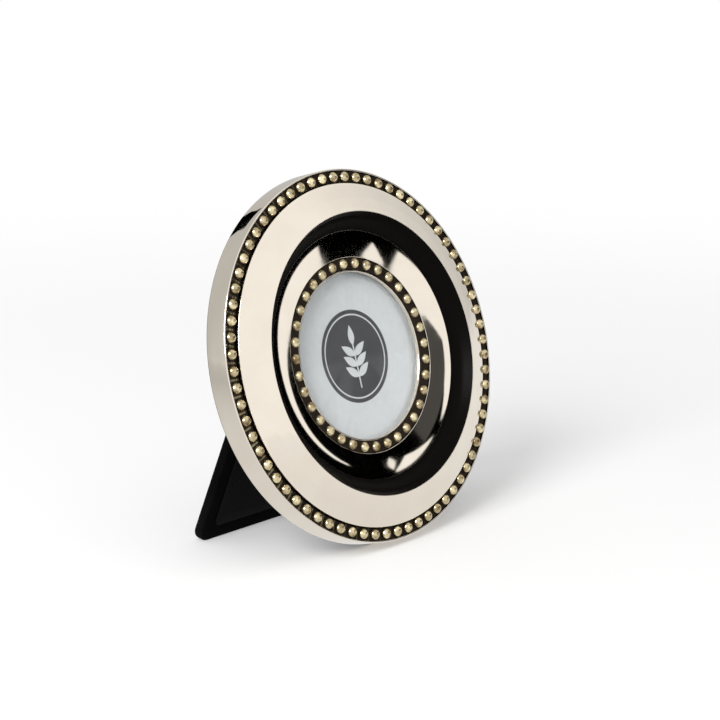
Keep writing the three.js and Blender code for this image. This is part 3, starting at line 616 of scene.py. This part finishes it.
def leg_patch(rows):
    """Outlines of the leg, one for each row of (share, inset, depth): the outline drawn in by the inset,
    shrunk towards the leg's middle to the share, at the depth behind the pin."""
    grid = np.stack([
        np.concatenate([
            share * (leg_outline(inset) - (0, LEG_MIDDLE)) + (0, LEG_MIDDLE),
            np.full((4 * (CORNER_STEPS + SIDE_POINTS), 1), depth),
        ], axis=1)
        for share, inset, depth in rows
    ])
    points = from_pin(grid[..., 0], grid[..., 2], grid[..., 1], LEG_TURN)
    points[..., 2] = np.maximum(points[..., 2], 0)
    ends = np.array([rows[0][2], rows[-1][2]])
    return points, from_pin(np.zeros(2), ends, np.full(2, LEG_MIDDLE), LEG_TURN)


bend = np.linspace(0, math.pi / 2, 6)
outer_edge = [(1, LEG_ROUND * (1 - math.sin(b)), LEG_OUTER - LEG_ROUND * (1 - math.cos(b))) for b in bend]
front_edge = [(1, LEG_ROUND * (1 - math.cos(b)), LEG_FRONT + LEG_ROUND * (1 - math.sin(b))) for b in bend]
leg_rows = (
    [(share, LEG_ROUND, LEG_OUTER) for share in np.linspace(0.08, 0.97, 12)]
    + outer_edge + front_edge
    + [(1, inset, LEG_FRONT) for inset in (1.2, 2.4, 3.6, 4.6, LEG_TURN_IN)]
    + [(1, LEG_TURN_IN + 0.1, LEG_FRONT + 0.2), (1, LEG_TURN_IN, LEG_FRONT + VELVET)]
    + [(1, VELVET + 0.02, LEG_FRONT + VELVET), (1, VELVET + 0.02, LEG_OUTER - VELVET)]
    + [(0.5, VELVET, LEG_OUTER - VELVET)]
)
leg_wrap = closed_mesh("leg_velvet_wrapped", leg_patch(leg_rows), sharp=50)
fit_out(leg_wrap, velvet_black, "leg", "leg_velvet")

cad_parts["leg_board"].data.materials.clear()
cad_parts["leg_board"].data.materials.append(board_grey)
lining_rows = (
    [(share, LEG_LINING_INSET, LEG_LINING_FRONT) for share in (0.3, 0.6, 0.9)]
    + [(1, LEG_LINING_INSET + 0.05, LEG_LINING_FRONT), (1, LEG_LINING_INSET, LEG_LINING_FRONT + 0.05)]
    + [(1, LEG_LINING_INSET, LEG_LINING_BACK - 0.05), (1, LEG_LINING_INSET + 0.05, LEG_LINING_BACK)]
    + [(0.5, LEG_LINING_INSET, LEG_LINING_BACK)]
)
leg_paper = closed_mesh("leg_lining_cut", leg_patch(lining_rows), sharp=50)
fit_out(leg_paper, paper_black, "leg", "leg_lining")


# The studio: a white sweep for a floor, an even white surround, one large soft lamp from the upper
# left, and two cards that only polished metal sees: a black one behind the rim, and a black one with
# white stripes to the right, drawn so that the dish mirrors them to the camera as bright bands.
FLOOR_REACH = 6.0
CENTRE = Vector((0, -0.006415, 0.042142))
BRIGHT_SIDE, DARK_FROM, BRIGHT_FROM, DARK_LEVEL = (-0.35, -0.93), -0.6, 0.3, 0.55
VIEW_AZIMUTH, VIEW_ELEVATION, VIEW_DISTANCE = -47.62, 14.12, 0.5
VIEW_RIGHT, VIEW_UP = -0.001204, -0.00126


def view_axes(azimuth, elevation):
    """Unit vectors back to the camera, to its right and up, for a view given in degrees."""
    a, e = math.radians(azimuth), math.radians(elevation)
    back = Vector((math.sin(a) * math.cos(e), -math.cos(a) * math.cos(e), math.sin(e)))
    right = Vector((math.cos(a), math.sin(a), 0))
    return back, right, back.cross(right)


def reflected_only(name, grid, watcher, glow):
    """A stage surface over a grid of points, seen by nothing but mirrors and only from the side of the
    watching point; each point glows by its own level."""
    rows, columns = grid.shape[:2]
    index = np.arange(rows * columns).reshape(rows, columns)
    quads = np.stack([index[:-1, :-1], index[:-1, 1:], index[1:, 1:], index[1:, :-1]], -1)
    quads = quads.reshape(-1, 4)
    corner = grid.reshape(-1, 3)[quads]
    normal = np.cross(corner[:, 2] - corner[:, 0], corner[:, 3] - corner[:, 1])
    away = ((watcher - corner.mean(axis=1)) * normal).sum(axis=1) < 0
    quads[away] = quads[away, ::-1]
    mesh = bpy.data.meshes.new(name)
    mesh.from_pydata(grid.reshape(-1, 3).tolist(), [], quads.tolist())
    layer = mesh.attributes.new("glow", "FLOAT", "POINT")
    layer.data.foreach_set("value", glow.ravel().astype(np.float32))
    piece = bpy.data.objects.new(name, mesh)
    bpy.context.scene.collection.objects.link(piece)
    paint = bpy.data.materials.new(name)
    paint.use_nodes = True
    tree = paint.node_tree
    level = tree.nodes.new("ShaderNodeAttribute")
    level.attribute_name = "glow"
    light = tree.nodes.new("ShaderNodeEmission")
    tree.links.new(level.outputs["Fac"], light.inputs["Strength"])
    sides = tree.nodes.new("ShaderNodeMixShader")
    tree.links.new(tree.nodes.new("ShaderNodeNewGeometry").outputs["Backfacing"], sides.inputs[0])
    tree.links.new(light.outputs["Emission"], sides.inputs[1])
    tree.links.new(tree.nodes.new("ShaderNodeBsdfTransparent").outputs["BSDF"], sides.inputs[2])
    tree.links.new(sides.outputs["Shader"], tree.nodes["Material Output"].inputs["Surface"])
    mesh.materials.append(paint)
    piece.visible_camera = piece.visible_diffuse = piece.visible_shadow = False
    piece.visible_transmission = piece.visible_volume_scatter = False


# The floor is white to the camera, more so away from the frame, where its shadow ends. Polished metal
# sees it dimmed behind the frame, and further off as bright as the surround is in that direction.
floor_mesh = bpy.data.meshes.new("floor")
floor_corners = [(i * FLOOR_REACH, j * FLOOR_REACH, 0) for i, j in ((-1, -1), (1, -1), (1, 1), (-1, 1))]
floor_mesh.from_pydata(floor_corners, [], [(0, 1, 2, 3)])
floor = bpy.data.objects.new("floor", floor_mesh)
bpy.context.scene.collection.objects.link(floor)
floor_paint, shader, add, link = finish_of("white_sweep", 0.9)
shader.inputs["Base Color"].default_value = (0.9, 0.9, 0.9, 1)
place = add("ShaderNodeTexCoord").outputs["Object"]
reach = add("ShaderNodeVectorMath", {"operation": "LENGTH"})
link(place, reach.inputs[0])
white_share = add(
    "ShaderNodeMapRange", {"interpolation_type": "SMOOTHSTEP"},
    Value=reach.outputs["Value"], From_Min=0.06, From_Max=0.45, To_Min=0.1, To_Max=1.0,
).outputs["Result"]
ray = add("ShaderNodeLightPath")
behind = add("ShaderNodeVectorMath", {"operation": "DOT_PRODUCT"})
link(place, behind.inputs[0])
behind.inputs[1].default_value = (-0.5, 1, 0)
dimmed = add(
    "ShaderNodeMapRange", Value=behind.outputs["Value"],
    From_Min=-0.1, From_Max=0.25, To_Min=0.88, To_Max=0.5,
)
bearing = add("ShaderNodeVectorMath", {"operation": "NORMALIZE"})
link(place, bearing.inputs[0])
ahead = add("ShaderNodeVectorMath", {"operation": "DOT_PRODUCT"})
link(bearing.outputs["Vector"], ahead.inputs[0])
ahead.inputs[1].default_value = (*BRIGHT_SIDE, 0)
horizon = add(
    "ShaderNodeMapRange", Value=ahead.outputs["Value"],
    From_Min=DARK_FROM, From_Max=BRIGHT_FROM, To_Min=DARK_LEVEL,
)
haze = add(
    "ShaderNodeMapRange", {"interpolation_type": "SMOOTHSTEP"},
    Value=reach.outputs["Value"], From_Min=0.1, From_Max=1.2,
)
mirrored = add("ShaderNodeMix", A=dimmed.outputs["Result"], B=horizon.outputs["Result"])
link(haze.outputs["Result"], mirrored.inputs["Factor"])
white_level = add("ShaderNodeMix", A=1.0)
link(ray.outputs["Is Glossy Ray"], white_level.inputs["Factor"])
link(mirrored.outputs["Result"], white_level.inputs["B"])
seen = add("ShaderNodeMath", {"operation": "ADD", "use_clamp": True})
link(ray.outputs["Is Camera Ray"], seen.inputs[0])
link(ray.outputs["Is Transmission Ray"], seen.inputs[1])
weight = add("ShaderNodeMath", {"operation": "MULTIPLY_ADD", "use_clamp": True})
link(white_share, weight.inputs[0])
link(seen.outputs["Value"], weight.inputs[1])
link(ray.outputs["Is Glossy Ray"], weight.inputs[2])
white = add("ShaderNodeEmission", Strength=white_level.outputs["Result"])
blend = add("ShaderNodeMixShader")
link(weight.outputs["Value"], blend.inputs[0])
link(shader.outputs["BSDF"], blend.inputs[1])
link(white.outputs["Emission"], blend.inputs[2])
link(blend.outputs["Shader"], floor_paint.node_tree.nodes["Material Output"].inputs["Surface"])
floor_mesh.materials.append(floor_paint)

camera = bpy.data.cameras.new("camera")
camera.sensor_width = 36
camera.lens = 111.1
viewer = bpy.data.objects.new("camera", camera)
back, right, up = view_axes(VIEW_AZIMUTH, VIEW_ELEVATION)
viewer.location = CENTRE + back * VIEW_DISTANCE + right * VIEW_RIGHT + up * VIEW_UP
viewer.rotation_euler = back.to_track_quat("Z", "Y").to_euler()
bpy.context.scene.collection.objects.link(viewer)
bpy.context.scene.camera = viewer

# The striped card: a ray from the camera, mirrored at a point of the dish, ends on the card's point for
# it, which glows as the bands say there. A band is a level, turns in degrees clockwise from the top, and
# the inner and the outer radius at each of those turns.
CARD_DISTANCE, CARD_MARGIN, BAND_SOFT, TURN_SOFT = 0.45, 0.08, 0.3, 2.0
CARD_MIDDLE, CARD_IN, CARD_OUT, CARD_EDGE = 0.1, 22.45, 28.6, 28.75
CARD_RINGS, CARD_STEPS = 90, 481
DISH_BANDS = (
    (1.0, (-152, -120, -90, -60, -16), (25.7, 25.0, 24.2, 22.2, 22.2), (26.0, 26.3, 26.4, 26.9, 27.0)),
    (
        1.0, (40, 76, 79, 93, 115, 134), (22.2, 22.2, 23.7, 26.6, 26.6, 27.6),
        (27.5, 28.6, 28.6, 28.6, 28.5, 27.7),
    ),
    (1.0, (144, 166, 176), (27.5, 25.4, 27.3), (27.6, 27.7, 27.6)),
    (1.0, (16, 23, 34), (22.2, 22.2, 22.2), (22.6, 26.4, 23.2)),
    (1.0, (174, 177, 180), (25.2, 24.0, 25.2), (25.8, 27.0, 25.8)),
    (0.07, (77, 150), (22.2, 22.2), (26.6, 26.6)),
)


def band(turn, reach, level, turns, inner, outer):
    """Brightness of a band of the dish between two radii, each interpolated over turns in degrees, with
    soft edges on all its sides."""
    low, high = np.interp(turn, turns, inner), np.interp(turn, turns, outer)
    edges = [
        (reach - low) / BAND_SOFT, (high - reach) / BAND_SOFT,
        (turn - turns[0]) / TURN_SOFT, (turns[-1] - turn) / TURN_SOFT,
    ]
    return level * np.prod(np.clip(np.array(edges) + 0.5, 0, 1), axis=0)


def unit(vectors):
    """Vectors divided by their lengths."""
    return vectors / np.linalg.norm(vectors, axis=-1, keepdims=True)


dish = to_crest[(to_crest[:, 0] > INNER_CHANNEL + 0.1) & (to_crest[:, 0] < PAINTED_DARK_EDGE + 0.4)]
reach = np.concatenate([[CARD_MIDDLE], np.linspace(CARD_IN, CARD_OUT, CARD_RINGS), [CARD_EDGE]])
turn, reach = np.meshgrid(np.linspace(-180, 180, CARD_STEPS), reach)
rise = np.interp(reach, *dish.T)
slope = np.interp(reach, dish[:, 0], np.gradient(dish[:, 1], dish[:, 0]))
slope = slope * (reach > CARD_MIDDLE) + CARD_MARGIN * (reach > CARD_OUT)
east, north = np.sin(np.radians(turn)), np.cos(np.radians(turn))
mirror = stand(reach * east, -rise, reach * north)
normal = unit(stand((reach - slope) * east, -rise - 1, (reach - slope) * north) - mirror)
sight = unit(mirror - np.array(viewer.location))
bounce = sight - 2 * (sight * normal).sum(axis=-1, keepdims=True) * normal
card_glow = np.max([band(turn, reach, *row) for row in DISH_BANDS], axis=0)
reflected_only("striped_card", mirror + CARD_DISTANCE * bounce, np.array(CENTRE), card_glow)

FLAG_AZIMUTH, FLAG_ELEVATION, FLAG_DISTANCE = 168, 23, 0.4
FLAG_HALF_WIDTH, FLAG_HALF_HEIGHT = 0.04, 0.045
back, right, up = (np.array(axis) for axis in view_axes(FLAG_AZIMUTH, FLAG_ELEVATION))
across, along = np.meshgrid([-FLAG_HALF_WIDTH, FLAG_HALF_WIDTH], [-FLAG_HALF_HEIGHT, FLAG_HALF_HEIGHT])
flag = np.array(CENTRE) + FLAG_DISTANCE * back + across[..., None] * right + along[..., None] * up
reflected_only("rim_flag", flag, np.array(CENTRE), np.zeros((2, 2)))

# The surround is white to the camera, less so as a light, and polished metal sees its far side dimmer.
world = bpy.data.worlds.new("white_surround")
world.use_nodes = True
bpy.context.scene.world = world
tree = world.node_tree
direction = tree.nodes.new("ShaderNodeTexCoord")
facing = tree.nodes.new("ShaderNodeVectorMath")
facing.operation = "DOT_PRODUCT"
facing.inputs[1].default_value = (*BRIGHT_SIDE, 0.1)
tree.links.new(direction.outputs["Generated"], facing.inputs[0])
falloff = tree.nodes.new("ShaderNodeMapRange")
falloff.inputs["From Min"].default_value = DARK_FROM
falloff.inputs["From Max"].default_value = BRIGHT_FROM
falloff.inputs["To Min"].default_value = DARK_LEVEL
tree.links.new(facing.outputs["Value"], falloff.inputs["Value"])
path = tree.nodes.new("ShaderNodeLightPath")
glossy = tree.nodes.new("ShaderNodeMix")
tree.links.new(path.outputs["Is Glossy Ray"], glossy.inputs["Factor"])
glossy.inputs["A"].default_value = 1.0
tree.links.new(falloff.outputs["Result"], glossy.inputs["B"])
ambient = tree.nodes.new("ShaderNodeMix")
tree.links.new(path.outputs["Is Diffuse Ray"], ambient.inputs["Factor"])
tree.links.new(glossy.outputs["Result"], ambient.inputs["A"])
ambient.inputs["B"].default_value = 0.7
tree.links.new(ambient.outputs["Result"], tree.nodes["Background"].inputs["Strength"])
tree.nodes["Background"].inputs["Color"].default_value = (1, 1, 1, 1)

lamp = bpy.data.lights.new("soft_lamp", "AREA")
lamp.shape = "DISK"
lamp.size = 0.5
lamp.energy = 7.0
soft_lamp = bpy.data.objects.new("soft_lamp", lamp)
soft_lamp.location = (-0.75, -0.15, 0.55)
soft_lamp.rotation_euler = (soft_lamp.location - CENTRE).to_track_quat("Z", "Y").to_euler()
bpy.context.scene.collection.objects.link(soft_lamp)

bpy.context.scene.view_settings.view_transform = "Standard"
